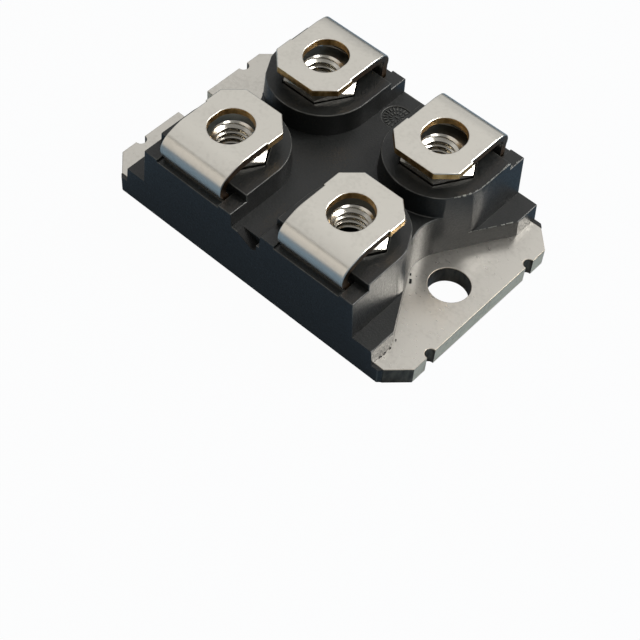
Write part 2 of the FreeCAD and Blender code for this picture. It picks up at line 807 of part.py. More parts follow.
def make_bonds(name, first_x, count, width, chip_foot_y, track_foot_y, side):
    body = new_body(name)
    thick = size.bond_thickness
    mitre = thick * tangent(size.bond_slope / 2)
    crest = bond_crest
    chip_rise = (crest - die_top) / tangent(size.bond_slope)
    track_rise = (crest - track_top) / tangent(size.bond_slope)
    chip_end = chip_foot_y + size.bond_foot * side
    track_end = track_foot_y - size.bond_foot * side
    lower = [
        (chip_foot_y, die_top), (chip_end, die_top), (chip_end + chip_rise * side, crest),
        (track_end - track_rise * side, crest), (track_end, track_top), (track_foot_y, track_top),
    ]
    upper = [
        (track_foot_y, track_top + thick), (track_end + mitre * side, track_top + thick),
        (track_end - track_rise * side + mitre * side, crest + thick),
        (chip_end + chip_rise * side - mitre * side, crest + thick),
        (chip_end - mitre * side, die_top + thick), (chip_foot_y, die_top + thick),
    ]
    outline = lower + upper
    profile = new_sketch(body, name + "_profile", "YZ_Plane", first_x)
    add_outline(profile, outline if side == FAR else list(reversed(outline)))
    loop = grow(body, profile, width, both_ways=True)
    if count > 1:
        row = body.newObject("PartDesign::LinearPattern", name + "_row")
        row.Originals = [loop]
        axis = [item for item in body.Origin.OriginFeatures if item.Role == "X_Axis"][0]
        row.Direction = (axis, [""])
        row.Occurrences = count
        row.setExpression("Length", (size.ribbon_pitch * (count - 1)).text)
        body.Tip = row
        doc.recompute()
    return body


def make_all_bonds():
    half_igbt = size.igbt_side / 2
    half_diode = size.diode_side / 2
    foot_and_inset = size.bond_foot + size.bond_inset
    igbt_far = half_igbt - size.chip_row_offset - foot_and_inset
    diode_far = half_diode - size.chip_row_offset - foot_and_inset
    igbt_near = foot_and_inset - half_igbt - size.chip_row_offset
    track_far = track_inner + foot_and_inset
    track_near = -track_inner - foot_and_inset
    igbt_first = igbt_place - size.ribbon_pitch * (IGBT_RIBBON_COUNT - 1) / 2
    diode_first = diode_place - size.ribbon_pitch * (DIODE_RIBBON_COUNT - 1) / 2
    kelvin_x = igbt_place + size.bond_foot
    return [
        make_bonds("emitter_ribbons", igbt_first, IGBT_RIBBON_COUNT, size.ribbon_width,
                   igbt_far, track_far, FAR),
        make_bonds("diode_ribbons", diode_first, DIODE_RIBBON_COUNT, size.ribbon_width,
                   diode_far, track_far, FAR),
        make_bonds("gate_bond", gate_x, 1, size.single_bond_width, igbt_near, track_near, NEAR),
        make_bonds("kelvin_bond", kelvin_x, 1, size.single_bond_width, igbt_near, track_near, NEAR),
    ]


# The whole module

near_fold = (leg_place - size.near_sag_lead, size.near_sag_angle, size.near_sag_run,
             size.near_fold_radius)
far_fold = (leg_place - size.far_sag_lead, size.far_sag_angle, size.far_sag_run,
            size.far_fold_radius)
TERMINALS = [
    ("gate", LEFT, NEAR, near_fold),
    ("kelvin", RIGHT, NEAR, near_fold),
    ("collector", LEFT, FAR, far_fold),
    ("emitter", RIGHT, FAR, far_fold),
]

base_plate = make_base_plate()
nuts = [make_nut(f"{name}_nut", side_x, side_y) for name, side_x, side_y, _fold in TERMINALS]
terminals = [make_terminal(f"{name}_terminal", side_x, side_y, *fold)
             for name, side_x, side_y, fold in TERMINALS]
sealed = make_substrate() + [make_collector_track()] + make_small_tracks()
sealed += make_chip("igbt", igbt_place, size.igbt_side)
sealed += make_chip("diode", diode_place, size.diode_side)
sealed += [make_foot_solder(f"{name}_foot_solder", side_x, side_y)
           for name, side_x, side_y, _fold in TERMINALS]
sealed += make_all_bonds()

# The compound flows round all that it seals, so those pieces are cut out of it as they are
moulded_in = doc.addObject("Part::MultiFuse", "moulded_in")
moulded_in.Shapes = sealed + terminals
housing = doc.addObject("Part::Cut", "housing")
housing.Label = "housing"
housing.Base = make_housing_blank()
housing.Tool = moulded_in
doc.recompute()

# Nothing is written unless every object and every shape is sound
for item in doc.Objects:
    broken = [state for state in item.State if state in ("Invalid", "Error")]
    fail_unless(not broken, f"{item.Label} is {broken}")

pieces = [base_plate, housing] + terminals + nuts + sealed
for piece in pieces:
    fail_unless(not piece.Shape.isNull() and piece.Shape.isValid(), f"{piece.Label} has no valid shape")

os.makedirs("parts", exist_ok=True)
for piece in pieces:
    piece.Shape.exportStep(f"parts/{piece.Label}.step")
    print(f"{piece.Label}: {len(piece.Shape.Solids)} solids, {piece.Shape.Volume:.3f} mm3")
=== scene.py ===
import math
import random

import bpy
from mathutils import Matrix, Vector


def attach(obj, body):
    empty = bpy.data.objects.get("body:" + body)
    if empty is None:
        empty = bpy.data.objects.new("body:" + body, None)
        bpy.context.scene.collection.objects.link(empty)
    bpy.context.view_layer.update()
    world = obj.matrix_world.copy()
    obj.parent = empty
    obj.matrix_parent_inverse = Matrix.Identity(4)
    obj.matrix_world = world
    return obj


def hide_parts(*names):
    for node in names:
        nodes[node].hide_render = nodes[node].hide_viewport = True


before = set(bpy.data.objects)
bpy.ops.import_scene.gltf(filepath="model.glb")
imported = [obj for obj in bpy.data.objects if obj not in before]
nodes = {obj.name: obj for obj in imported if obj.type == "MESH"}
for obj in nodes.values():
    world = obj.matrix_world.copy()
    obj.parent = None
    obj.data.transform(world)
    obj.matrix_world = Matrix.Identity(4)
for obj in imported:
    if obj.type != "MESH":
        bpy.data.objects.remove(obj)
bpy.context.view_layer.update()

# An isolated-base power module with four folded terminals. X runs along the plate, with the round
# fixing hole at +X, Y runs across it, and Z goes up from the cooling face.
MM = 0.001
SIDES = (-1, 1)
QUARTERS = tuple((side_x, side_y) for side_x in SIDES for side_y in SIDES)

# Sizes in millimetres, the same as the solids have
PLATE_END, PLATE_SIDE, PLATE_TOP, PLATE_CORNER = 19.05, 12.0, 2.04, 2.0
FIXING_X, FIXING_RADIUS = 15.1, 2.1
NOTCH_X, NOTCH_Y, NOTCH_RADIUS = 18.99, 7.5, 0.58
SKIRT_END, SKIRT_SIDE, SKIRT_LIFT, SKIRT_CORNER = 17.05, 12.38, 0.1, 0.35
SIDE_LEAN = 0.22 / 8.7
MOULDING_SIDE = 12.6
FOOT_END, FOOT_TOP = 15.9, 4.05
VALLEY_TOP, LEDGE_TOP, PAD_TOP = 7.0, 8.7, 9.55
PAD_RADIUS, PAD_REACH, BLOCK_END = 5.58, 10.4, 12.78
END_SLOPE = math.tan(math.radians(3.5))
VEE_RADIUS, VEE_ANGLE = 4.0, math.radians(60.3)
VEE_SLOPE = math.tan(math.radians(2.3))
VEE_MOUTH = 16.475
SLOT_DEPTH, SLOT_HALF_WIDTH = 0.3, 3.98
MARK_Y, MARK_RADIUS, MARK_DEPTH = 9.3, 1.5, 0.12
SCAR_LEFT, SCAR_RIGHT, SCAR_DEPTH = -1.0, 1.4, 0.7
SCAR_LOW_X, SCAR_LOW, SCAR_LIP, SCAR_OPEN = 0.85, 5.9, 6.27, 9.5
TERMINAL_X, NUT_Y = 7.5, 6.35
NUT_BASE, NUT_TOP, NUT_FLATS, NUT_GAP = 7.05, 10.25, 3.5, 0.12
NUT_CROWN, NUT_CROWN_SLOPE = 3.35, math.tan(math.radians(30))
NUT_COUNTERSINK, WELL_RADIUS, WELL_FLOOR = 2.1, 2.3, 5.17
THREAD_CREST, THREAD_ROOT, THREAD_PITCH = 1.65, 2.06, 0.7
STRIP_THICK, STRIP_HALF, TAB_HALF = 0.8, 3.9, 4.05
TAB_TOP, TAB_END, TAB_CORNER, TAB_SHOULDER = 11.95, 2.15, 1.75, 6.0
HOLE_RADIUS, HOLE_RUN, HOLE_Y = 2.075, 0.325, 6.7
LEG_Y, NECK_HALF, NECK_TOP, FOOT_Y, FOOT_BASE = 11.3, 1.5, 6.2, 8.6, 3.47
SAG_RADIUS, RETURN_RADIUS, FOOT_RADIUS = 4.5, 0.8, 0.7
# Where the sag starts, its angle in degrees, its straight run and the fold's radius
NEAR_FOLD = (8.8, 20.0, 0.7, 1.3)
FAR_FOLD = (9.5, 8.0, 0.5, 0.9)
TERMINALS = (("gate", -1, -1), ("kelvin", 1, -1), ("collector", -1, 1), ("emitter", 1, 1))

# Plain ticks of the round mark: how many, from radius, to radius, width
MARK_RINGS = ((20, 0.95, 1.35, 0.12), (12, 0.45, 0.75, 0.12), (1, -0.2, 0.2, 0.1))
MARK_RAISE, MARK_SUNK = 0.09, 0.02
# Crumbs of flash on the plate, and three thin dark dashes along the bottom of the near right foot's
# end, which are painted shadow where the foot meets the plate: place, length, width and turn
CRUMBS_AND_SHADOW_DASHES = (
    (11.63, -1.66, 0.24, 0.15, 2.2), (12.16, -2.3, 0.52, 0.22, 2.2),
    (15.68, -8.62, 0.22, 0.09, 2.2), (15.93, -11.1, 0.3, 0.03, 1.5),
    (15.94, -10.5, 0.35, 0.03, 1.6), (15.93, -9.7, 0.25, 0.03, 1.55),
)
# Frayed bits along the rims of the far right pad, its ledge and the foot below it, in a pale grey
# that is a painted highlight along those rims
PAD_FRAYS = (
    (12.0, 3.2, 0.2, 0.06, 0.95), (12.19, 3.5, 0.26, 0.12, 1.02),
    (12.46, 3.98, 0.3, 0.14, 1.13), (12.7, 4.56, 0.24, 0.1, 1.24),
    (12.88, 5.3, 0.3, 0.05, 1.4), (13.02, 6.2, 0.4, 0.05, 1.5),
    (13.02, 6.8, 0.35, 0.06, 1.63), (13.03, 7.5, 0.5, 0.05, 1.55),
    (13.02, 8.2, 0.4, 0.07, 1.6), (13.03, 8.8, 0.35, 0.05, 1.5),
    (13.0, 9.4, 0.5, 0.08, 1.66), (12.97, 9.95, 0.4, 0.06, 1.4),
)
LEDGE_FRAYS = ((12.98, 10.7, 0.3, 0.05, 1.7), (13.03, 11.6, 0.5, 0.04, 1.6))
FOOT_FRAYS = (
    (13.24, 5.05, 0.3, 0.07, 1.08), (13.5, 5.5, 0.5, 0.03, 1.04),
    (13.87, 6.14, 0.7, 0.03, 1.05), (14.4, 7.07, 0.9, 0.03, 1.06),
    (14.95, 8.04, 0.35, 0.05, 1.03), (15.3, 8.66, 0.7, 0.05, 1.06),
)
CRUMB_SEED, CRUMB_SUNK, CRUMB_RAISED = 7, 0.03, 0.02
CRUMB_LOW, CRUMB_HIGH = 0.05, 0.1
CRUMB_JITTER = (0.03, 0.02, 0.03)

# How far cutting tools run past a face or sink into a form, and places well outside the part
PAST, SUNK, SINK_PAST, CROWN_OVERLAP = 1, 0.5, 0.2, 0.01
END_OUT, SIDE_OUT, TOP_OUT, STRIP_OUT, STRIP_ABOVE = 25, 20, 12, 6, 15
WELL_OPENING = 8
# Facets round a full turn, the lengths of a bend's facets, and the tap's spare turns
ROD_FACETS, NOTCH_FACETS, WELL_FACETS, PAD_FACETS, VEE_FACETS = 72, 24, 48, 96, 128
THREAD_FACETS, SPARE_TURNS = 48, 5
SAG_FACET, BEND_FACET, FEWEST_FACETS = 0.4, 0.15, 4
# How round the worn edges are, how near points are merged, and angles in degrees
PLATE_ROUND, HOUSING_ROUND, STRIP_ROUND = 0.055, 0.08, 0.09
PLATE_MERGE, HOUSING_MERGE, STRIP_MERGE = 0.02, 0.03, 0.035
BEND_JOIN, THREAD_JOIN, CUT_LIMIT = 0.0005, 0.001, 0.0001
FLAT_ANGLE, EDGE_ANGLE, HOUSING_EDGE_ANGLE = 0.4, 28, 40
SMOOTH_ANGLE, NUT_SMOOTH_ANGLE = 18, 25
# Limits for picking edges and faces: parts of a direction or normal, and distances
UPRIGHT, FACING, SIDEWAYS, NEAR_SIDE = 0.9, 0.5, 0.95, 0.99
STEEP, NEARLY_FLAT, HOLE_STEEP = 0.35, 0.97, 0.4
ON_FACE, ON_NOTCH, ON_WALL, PLATE_CLEAR = 0.02, 0.05, 0.1, 0.2
FLAT_TAB_END, HOLE_DEPTH, TAB_DEPTH = 9.2, 1, 1.1

# Soft boxes: name, direction, distance and width in metres, brightness, colour
LAMPS = (
    ("key_box", (0.37, 0.56, 0.75), 0.5, 0.2, 13.6, "#fffefc"),
    ("side_box", (0.74, -0.14, 0.7), 0.5, 0.15, 7.6, "#ffffff"),
    ("top_box", (-0.36, 0.34, 0.76), 0.75, 1.0, 0.55, "#ffffff"),
    ("front_card", (-0.42, -0.8, 0.42), 0.8, 0.85, 0.62, "#fff8f0"),
)
# The room's colour and brightness, from the height of the horizon upwards
ROOM_COLOURS = ((0.1, "#b2bcc4"), (0.7, "#f4f4f2"))
ROOM_LOW, ROOM_HIGH, ROOM_RISE = 0.2, 0.34, 0.9
# The floor: its size in metres, its colour as paper, and its shares of plain white
FLOOR_SIZE, FLOOR_PAPER = 6, "#6c869c"
WHITE_TO_CAMERA, WHITE_TO_GLOSS = 0.97, 0.05
# The photograph's viewpoint, solved in metres and degrees, with its focal length in pixels
CAMERA_PLACE = (0.065158, -0.086307, 0.124647)
CAMERA_TURN = (37.0995, -3.6832, 41.8209)
SENSOR_WIDTH, FOCAL_PIXELS, FRAME_PIXELS = 36, 1653.24, 640
CLIP_NEAR, CLIP_FAR = 0.005, 20


# Colours and nodes

def linear(hex_colour):
    """An sRGB hex colour as the linear colour that the shader takes."""
    channels = [int(hex_colour[i:i + 2], 16) / 255 for i in (1, 3, 5)]
    return tuple([
        c / 12.92 if c <= 0.04045 else ((c + 0.055) / 1.055) ** 2.4 for c in channels] + [1.0])


def add_node(tree, kind, settings=None, links=None):
    """A node with its settings (sockets by name or number, else properties) and its links."""
    node = tree.nodes.new(kind)
    for key, value in (settings or {}).items():
        if isinstance(key, str) and hasattr(node, key):
            setattr(node, key, value)
        else:
            node.inputs[key].default_value = value
    for key, source in (links or {}).items():
        tree.links.new(source, node.inputs[key])
    return node


def empty_tree(owner):
    """The node tree of a material or of the world, with nothing in it."""
    owner.use_nodes = True
    owner.node_tree.nodes.clear()
    return owner.node_tree


def new_material(name, settings):
    """A material with one principled shader, and the tree to add its pattern to."""
    material = bpy.data.materials.new(name)
    tree = empty_tree(material)
    shader = add_node(tree, "ShaderNodeBsdfPrincipled", settings)
    add_node(tree, "ShaderNodeOutputMaterial", links={"Surface": shader.outputs["BSDF"]})
    place = add_node(tree, "ShaderNodeTexCoord")
    return material, tree, shader, place.outputs["Object"]


def grain(tree, place, size_mm, detail=3.0, stretch=(1.0, 1.0, 1.0)):
    """Noise with grains about size_mm across, longer along an axis whose stretch is below 1."""
    mapped = add_node(tree, "ShaderNodeMapping", {"Scale": stretch}, {"Vector": place})
    return add_node(
        tree, "ShaderNodeTexNoise", {"Scale": 1 / (size_mm * MM), "Detail": detail},
        {"Vector": mapped.outputs["Vector"]},
    ).outputs["Fac"]


def ramp(tree, factor, stops):
    """A colour ramp from (place, hex colour) stops."""
    node = add_node(tree, "ShaderNodeValToRGB", links={"Fac": factor})
    elements = node.color_ramp.elements
    while len(elements) < len(stops):
        elements.new(0.5)
    for element, (at, colour) in zip(elements, stops):
        element.position = at
        element.color = linear(colour)
    return node.outputs["Color"]


def spread(tree, factor, low, high, from_low=0.3, from_high=0.7):
    """A factor stretched to a range of values. Noise seldom leaves 0.3 to 0.7."""
    return add_node(
        tree, "ShaderNodeMapRange",
        {"From Min": from_low, "From Max": from_high, "To Min": low, "To Max": high},
        {"Value": factor},
    ).outputs["Result"]


def bump(tree, shader, height, distance_mm):
    """Relief of the given depth on the shader's surface."""
    node = add_node(
        tree, "ShaderNodeBump", {"Distance": distance_mm * MM}, {"Height": height})
    tree.links.new(node.outputs["Normal"], shader.inputs["Normal"])


# Materials

def moulding_compound(name, light, dark):
    """Black epoxy compound, transfer moulded in a spark-eroded tool.

    The tool leaves a fine even pitting, which gives the eye a matt skin with a soft sheen where
    light grazes it. The real pits are a few hundredths of a millimetre wide, too fine to show, so
    the grain is drawn at 0.2 mm. The cloudy mottle is the filler that rises to the skin.
    """
    material, tree, shader, place = new_material(
        name, {"IOR": 1.5, "Roughness": 0.4, "Specular IOR Level": 0.5})
    cloud = grain(tree, place, size_mm=1.6)
    pits = grain(tree, place, size_mm=0.2)
    colour = ramp(tree, cloud, [(0.35, dark), (0.65, light)])
    tree.links.new(colour, shader.inputs["Base Color"])
    tree.links.new(spread(tree, pits, 0.3, 0.5), shader.inputs["Roughness"])
    bump(tree, shader, pits, distance_mm=0.018)
    return material


def satin_nickel(name, light, dark, roughness):
    """Nickel electroplated on rolled copper.

    Rolling leaves fine lines along X, which the satin plating softens, so the eye sees a grey
    metal with broad soft highlights and a faint mottle. The real lines are finer than 0.05 mm,
    too fine to show, so the mottle and the lines are drawn at 0.4 mm.
    """
    material, tree, shader, place = new_material(name, {"Metallic": 1.0})
    rolled = grain(tree, place, size_mm=0.4, stretch=(0.5, 1.0, 1.0))
    cloud = grain(tree, place, size_mm=3.0, detail=2.0)
    fine = grain(tree, place, size_mm=0.4, detail=1.0)
    mottle = add_node(
        tree, "ShaderNodeMath", {"operation": "ADD"}, {0: cloud, 1: fine}).outputs[0]
    colour = ramp(tree, mottle, [(0.7, dark), (1.3, light)])
    tree.links.new(colour, shader.inputs["Base Color"])
    matt = spread(tree, rolled, roughness - 0.03, roughness + 0.03)
    tree.links.new(matt, shader.inputs["Roughness"])
    return material


def cut_copper(name, light, dark):
    """Copper sheared or punched through, with at most a thin film of plating.

    The punch tears the lower part of the cut and leaves lines down it, which gives the eye a dull
    brownish edge with uneven highlights. The lines are drawn at 0.5 mm, coarser than real.
    """
    material, tree, shader, place = new_material(name, {"Metallic": 1.0})
    torn = grain(tree, place, size_mm=0.5, detail=2.0, stretch=(1.0, 1.0, 0.4))
    colour = ramp(tree, torn, [(0.3, dark), (0.7, light)])
    tree.links.new(colour, shader.inputs["Base Color"])
    tree.links.new(spread(tree, torn, 0.34, 0.44), shader.inputs["Roughness"])
    bump(tree, shader, torn, distance_mm=0.008)
    return material


def bright_nickel(name, light, dark):
    """Bright nickel electroplated on a turned steel nut: near a mirror, slightly uneven."""
    material, tree, shader, place = new_material(name, {"Metallic": 1.0})
    cloud = grain(tree, place, size_mm=1.0, detail=2.0)
    colour = ramp(tree, cloud, [(0.3, dark), (0.7, light)])
    tree.links.new(colour, shader.inputs["Base Color"])
    tree.links.new(spread(tree, cloud, 0.18, 0.26), shader.inputs["Roughness"])
    return material


def plain_material(name, light, dark, metallic, roughness, size_mm):
    """A finish for what is sealed in or tiny: its own colour with a soft mottle of size_mm."""
    material, tree, shader, place = new_material(
        name, {"Metallic": metallic, "Roughness": roughness})
    cloud = grain(tree, place, size_mm)
    colour = ramp(tree, cloud, [(0.3, dark), (0.7, light)])
    tree.links.new(colour, shader.inputs["Base Color"])
    bump(tree, shader, cloud, distance_mm=0.01)
    return material


MOULDING = moulding_compound("epoxy_moulding_compound", "#151615", "#101211")
# The same compound in pale grey on the rounded edges and the mark's ticks: a painted highlight, so
# edges read as grey lines
MOULDING_HIGHLIGHT = moulding_compound("worn_moulding_edge", "#50504c", "#222322")
# Thin flash torn off at the parting line: ragged, and pale grey as a painted highlight of the light
# its rims catch
HIGHLIT_FLASH = moulding_compound("torn_moulding_flash", "#a8a8a0", "#6c6c66")
PLATE_NICKEL = satin_nickel("satin_nickel_on_copper_plate", "#cdc9c1", "#c4c0b8", 0.3)
TAB_NICKEL = satin_nickel("semi_bright_nickel_on_copper_strip", "#d7d3ca", "#d0ccc3", 0.31)
# The plate's sheared ends, rough below the same plating: broad warm highlights
PLATE_SIDES = satin_nickel("nickel_on_sheared_side", "#fcead0", "#ecdac0", 0.5)
# The plate's rounded rim, rougher from handling and darker in colour as painted shade: only a thin
# soft line of light
PLATE_EDGE = satin_nickel("nickel_on_rounded_edge", "#b0a697", "#a1988a", 0.5)
# Walls of holes and notches, where the plating is thin: dark and brownish. The cut corners take it
# too, as a painted dark reflection
HOLE_WALL_AND_SHADED_CORNER = cut_copper("tarnished_hole_wall", "#7c6f60", "#544a40")
# The strips' sheared sides: a warm brass-like line along each tab, and a dark brown on the folds and
# legs below it that is painted shade under the tab
TAB_EDGE = cut_copper("sheared_strip_edge", "#d6b47c", "#a8844e")
TAB_LEG_SHADE = cut_copper("tarnished_strip_edge", "#6a5138", "#4a3625")
# Compound torn open where the gate broke off: no skin, so dull black with no sheen
SCAR_FACE = plain_material("broken_gate_face", "#161615", "#0a0a0a", 0.0, 0.85, 0.25)
NUT_NICKEL = bright_nickel("bright_nickel_plate", "#d8d4cb", "#c9c4ba")
# Loose crumbs of compound: broken all round, so dull black. The same black makes the thin dashes by
# the near right foot, a painted shadow
CRUMB_AND_SHADOW_BLACK = plain_material("matt_moulding_crumbs", "#0e0e0d", "#080808", 0.0, 0.9, 0.2)
# By how the names of the frame's own materials start. Rolled copper is warm and satin, fired
# alumina chalky white, soft solder dull grey, metallised silicon smooth blue grey, and drawn
# aluminium pale and bright.
SEALED_FINISHES = {
    "copper": plain_material("bare_rolled_copper", "#d9926e", "#c07a57", 1.0, 0.35, 1.0),
    "ceramic": plain_material("fired_alumina", "#efece4", "#e4e0d6", 0.0, 0.55, 0.5),
    "solder": plain_material("soft_solder", "#b9bbbd", "#9fa2a5", 1.0, 0.45, 0.6),
    "silicon": plain_material("metallised_silicon", "#8f9198", "#7c7e86", 0.6, 0.25, 1.5),
    "bond_aluminium": plain_material("drawn_aluminium", "#d4d5d7", "#c4c6c9", 1.0, 0.3, 0.4),
}


# Modelling helpers: lengths in millimetres

def deselect_all():
    bpy.ops.object.select_all(action="DESELECT")


def deselect_mesh(mesh):
    """Deselect all points, edges and faces of a mesh, before some are selected in code."""
    for group in (mesh.vertices, mesh.edges, mesh.polygons):
        group.foreach_set("select", [False] * len(group))


def take(piece):
    """Make one piece the only selected and active one."""
    deselect_all()
    piece.select_set(True)
    bpy.context.view_layer.objects.active = piece


def add_object(name, data):
    """A new object in the scene that holds a mesh, a lamp or a camera."""
    holder = bpy.data.objects.new(name, data)
    bpy.context.scene.collection.objects.link(holder)
    return holder


def settle(name):
    """Name the new primitive and put its place, turn and size into its mesh."""
    piece = bpy.context.object
    piece.name = name
    bpy.ops.object.transform_apply(location=True, rotation=True, scale=True)
    return piece


def add_block(name, low, high):
    """A block between two opposite corners."""
    deselect_all()
    centre = [(a + b) / 2 * MM for a, b in zip(low, high)]
    extent = [(b - a) * MM for a, b in zip(low, high)]
    bpy.ops.mesh.primitive_cube_add(size=1, location=centre, scale=extent)
    return settle(name)


def add_rod(name, middle, base, top, radius, top_radius=None, sides=ROD_FACETS, turn=0.0):
    """An upright rod or cone round middle, from the height base to the height top."""
    deselect_all()
    end_radius = radius if top_radius is None else top_radius
    place = (middle[0] * MM, middle[1] * MM, (base + top) / 2 * MM)
    bpy.ops.mesh.primitive_cone_add(
        vertices=sides, radius1=radius * MM, radius2=end_radius * MM,
        depth=(top - base) * MM, location=place, rotation=(0, 0, turn))
    return settle(name)


def start_edit(piece, kind, test):
    """Enter edit mode with what passes test(middle in mm, normal or direction) selected."""
    take(piece)
    mesh = piece.data
    deselect_mesh(mesh)
    places = [v.co / MM for v in mesh.vertices]
    if kind == "VERT":
        for vertex in mesh.vertices:
            vertex.select = test(places[vertex.index], vertex.normal)
    elif kind == "EDGE":
        for edge in mesh.edges:
            a, b = (places[i] for i in edge.vertices)
            edge.select = test((a + b) / 2, (b - a).normalized())
    else:
        for face in mesh.polygons:
            face.select = test(face.center / MM, face.normal)
    bpy.context.tool_settings.mesh_select_mode = (kind == "VERT", kind == "EDGE", kind == "FACE")
    bpy.ops.object.mode_set(mode="EDIT")


def end_edit():
    bpy.ops.object.mode_set(mode="OBJECT")


def everything(place, direction):
    """The test that start_edit takes to select all."""
    return True


def apply_all(piece):
    """Apply the piece's modifiers, in their order."""
    take(piece)
    for modifier in list(piece.modifiers):
        bpy.ops.object.modifier_apply(modifier=modifier.name)


def combine(piece, tools, operation):
    """Join, cut or trim the piece with tools, which are used up."""
    for tool in tools:
        modifier = piece.modifiers.new("combine", "BOOLEAN")
        modifier.operation = operation
        modifier.solver = "EXACT"
        modifier.object = tool
        apply_all(piece)
        bpy.data.objects.remove(tool)


def trim(point, direction, keep_inner):
    """Cut what is selected in edit mode at a plane, and close the cut with a face."""
    bpy.ops.mesh.bisect(
        plane_co=point, plane_no=direction, threshold=CUT_LIMIT * MM, use_fill=True,
        clear_inner=not keep_inner, clear_outer=keep_inner)


def select_outer_edges(piece, limit, seat=None):
    """Select the sharp edges that stick out, but for those that sit at the height seat."""
    mesh = piece.data
    sides = {}
    for face in mesh.polygons:
        for key in face.edge_keys:
            sides.setdefault(key, []).append(face)
    deselect_mesh(mesh)
    for edge in mesh.edges:
        faces = sides.get(edge.key, [])
        if len(faces) != 2:
            continue
        if faces[0].normal.angle(faces[1].normal, 0) < math.radians(limit):
            continue
        ends = [mesh.vertices[i].co / MM for i in edge.vertices]
        if seat is not None and all(abs(end.z - seat) < ON_FACE for end in ends):
            continue
        middle = (ends[0] + ends[1]) / 2
        inward = [(face.center / MM - middle).normalized() for face in faces]
        edge.select = faces[0].normal.dot(inward[1]) < 0


def round_edges(piece, width, merge, limit=EDGE_ANGLE, seat=None, edge_material=-1):
    """Clean the flats, round the sharp outer edges and shade what is curved."""
    start_edit(piece, "VERT", everything)
    bpy.ops.mesh.remove_doubles(threshold=merge * MM)
    bpy.ops.mesh.dissolve_limited(angle_limit=math.radians(FLAT_ANGLE))
    end_edit()
    select_outer_edges(piece, limit, seat)
    bpy.context.tool_settings.mesh_select_mode = (False, True, False)
    bpy.ops.object.mode_set(mode="EDIT")
    bpy.ops.mesh.bevel(
        offset=width * MM, segments=2, affect="EDGES", clamp_overlap=False,
        material=edge_material, miter_outer="ARC")
    end_edit()
    bpy.ops.object.shade_smooth_by_angle(angle=math.radians(SMOOTH_ANGLE))
    weighted = piece.modifiers.new("broad_faces_lead", "WEIGHTED_NORMAL")
    weighted.keep_sharp = True
    apply_all(piece)


def copy_piece(piece, name, turn_x, turn_y, shift):
    """A copy with its own mesh, mirrored where a turn is -1, and moved."""
    copy = piece.copy()
    copy.data = piece.data.copy()
    copy.name = name
    bpy.context.scene.collection.objects.link(copy)
    for vertex in copy.data.vertices:
        turned = Vector((vertex.co.x * turn_x, vertex.co.y * turn_y, vertex.co.z))
        vertex.co = turned + Vector(shift) * MM
    if turn_x * turn_y < 0:
        copy.data.flip_normals()
    return copy


def paint(piece, *materials):
    """Give the piece its materials. Its faces take the first unless they say otherwise."""
    piece.data.materials.clear()
    for material in materials:
        piece.data.materials.append(material)


def finish_piece(piece, slot, *replaced):
    """Put a finished piece on the one body, in place of the CAD nodes that it dresses."""
    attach(piece, "root")
    if replaced:
        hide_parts(*replaced)


def join_pieces(pieces, name, material):
    """Make one finished piece of several small ones, all of one material."""
    deselect_all()
    for piece in pieces:
        piece.select_set(True)
    bpy.context.view_layer.objects.active = pieces[0]
    bpy.ops.object.join()
    pieces[0].name = name
    paint(pieces[0], material)
    finish_piece(pieces[0], "moulding")


# Base plate

def make_plate():
    """Nickel-plated copper plate with cut corners, a round hole, an open slot and four notches."""
    plate = add_block("plate", (-PLATE_END, -PLATE_SIDE, 0), (PLATE_END, PLATE_SIDE, PLATE_TOP))
    start_edit(plate, "EDGE", lambda middle, along: abs(along.z) > UPRIGHT)
    bpy.ops.mesh.bevel(offset=PLATE_CORNER * MM, segments=1, affect="EDGES")
    end_edit()
    below, above = -PAST, PLATE_TOP + PAST
    tools = [
        add_rod("hole", (FIXING_X * side, 0), below, above, FIXING_RADIUS) for side in SIDES]
    tools.append(add_block(
        "slot", (-PLATE_END - PAST, -FIXING_RADIUS, below), (-FIXING_X, FIXING_RADIUS, above)))
    for side_x, side_y in QUARTERS:
        middle = (NOTCH_X * side_x, NOTCH_Y * side_y)
        tools.append(add_rod("notch", middle, below, above, NOTCH_RADIUS, sides=NOTCH_FACETS))
    combine(plate, tools, "DIFFERENCE")
    round_edges(plate, PLATE_ROUND, PLATE_MERGE)
    paint(plate, PLATE_NICKEL, PLATE_SIDES, HOLE_WALL_AND_SHADED_CORNER, PLATE_EDGE)
    mark_plate_sides(plate)
    finish_piece(plate, "base_nickel", "base_plate")


def mark_plate_sides(plate):
    """Give the ends the second material, the punched walls the third, also on the cut corners as a
    painted dark reflection, and the rim the fourth.
    """
    corner = PLATE_END + PLATE_SIDE - PLATE_CORNER
    for face in plate.data.polygons:
        place = face.center / MM
        to_hole = math.hypot(abs(place.x) - FIXING_X, place.y)
        to_notch = math.hypot(abs(place.x) - NOTCH_X, abs(place.y) - NOTCH_Y)
        # Holes, notches and the cut corners: on the corners the dark colour is a painted dark
        # reflection
        punched = (to_hole < FIXING_RADIUS + ON_WALL or to_notch < NOTCH_RADIUS + ON_NOTCH
                   or abs(place.x) + abs(place.y) > corner - ON_NOTCH)
        slope = abs(face.normal.z)
        if slope < STEEP:
            face.material_index = 2 if punched else 1
        elif slope < NEARLY_FLAT:
            face.material_index = 3


# Moulded housing

